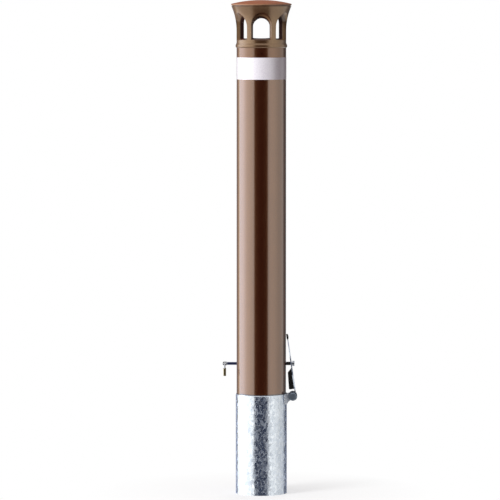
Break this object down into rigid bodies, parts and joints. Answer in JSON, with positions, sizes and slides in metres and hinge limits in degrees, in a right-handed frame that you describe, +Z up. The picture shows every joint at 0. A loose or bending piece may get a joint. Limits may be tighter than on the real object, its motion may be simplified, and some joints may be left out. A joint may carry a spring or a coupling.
{
  "type": "removable lock-down bollard",
  "caption": "Removable round post with an arched lantern head and a reflective band, in a buried ground socket with a hinged lid, held by a padlocked cross bar.",
  "frame": {"origin": "centre of the underside of the ground socket's base", "axes": "+Z up along the post, +X towards the lid's hinge, ground level at z = 0.238 m"},
  "size_m": [0.1723, 0.1388, 1.1409],
  "materials": {
    "galvanised_steel": "hot-dip galvanised with spangle",
    "fastener_steel": "zinc plated",
    "bronze_paint": "satin powder coat",
    "bronze_paint_casting": "satin powder coat on a casting",
    "reflective_tape": "retroreflective sheet",
    "black_moulding": "moulded",
    "black_rubber": "moulded",
    "bar_steel": "dark zinc plated",
    "shackle_chrome": "polished",
    "lock_brass": "brushed",
    "plug_brass": "turned"
  },
  "bodies": {
    "socket": {"socket_tube": "galvanised_steel", "socket_base": "galvanised_steel", "hinge_bracket": "galvanised_steel", "hinge_bush": "fastener_steel", "hinge_bolt": "fastener_steel", "hinge_nut": "fastener_steel", "hinge_washers": "fastener_steel"},
    "lid": {"lid_plate": "galvanised_steel", "lid_block": "black_moulding", "lid_screws": "fastener_steel", "lid_grip": "black_rubber"},
    "post": {"post_tube": "bronze_paint", "reflective_band": "reflective_tape", "head_crown": "bronze_paint_casting", "dome_cap": "bronze_paint_casting", "head_set_screws": "bronze_paint", "dome_screws": "fastener_steel"},
    "lock_bar": {"lock_bar": "bar_steel", "bar_sleeve": "black_rubber"},
    "padlock": {"padlock_shackle": "shackle_chrome", "padlock_body": "lock_brass"},
    "key_plug": {"padlock_plug": "plug_brass"},
    "latch": {"padlock_latch": "fastener_steel"}
  },
  "joints": [
    {"name": "lid_swing", "type": "hinge", "parent": "socket", "child": "lid", "pos_m": [0.073, 0, 0.2258], "axis": [0, 1, 0], "range_deg": [0, 12]},
    {"name": "post_lift", "type": "slide", "parent": "socket", "child": "post", "axis": [0, 0, 1], "range_m": [0, 0.003]},
    {"name": "bar_slide", "type": "slide", "parent": "post", "child": "lock_bar", "axis": [1, 0, 0], "range_m": [0, 0.01533]},
    {"name": "padlock_swing", "type": "hinge", "parent": "lock_bar", "child": "padlock", "pos_m": [-0.0847, 0, 0.3013], "axis": [0, 1, 0], "range_deg": [-15, 90]},
    {"name": "key_turn", "type": "hinge", "parent": "padlock", "child": "key_plug", "pos_m": [-0.0847, 0, 0.2728], "axis": [0, 0, -1], "range_deg": [0, 90]},
    {"name": "latch_slide", "type": "slide", "parent": "padlock", "child": "latch", "axis": [0, -1, 0], "range_m": [0, 0.0013]}
  ],
  "couplings": [
    {"joint": "bar_slide", "follows": "lid_swing", "m_per_rad": 0.07316},
    {"joint": "key_turn", "follows": "latch_slide", "rad_per_m": 1208.3}
  ]
}
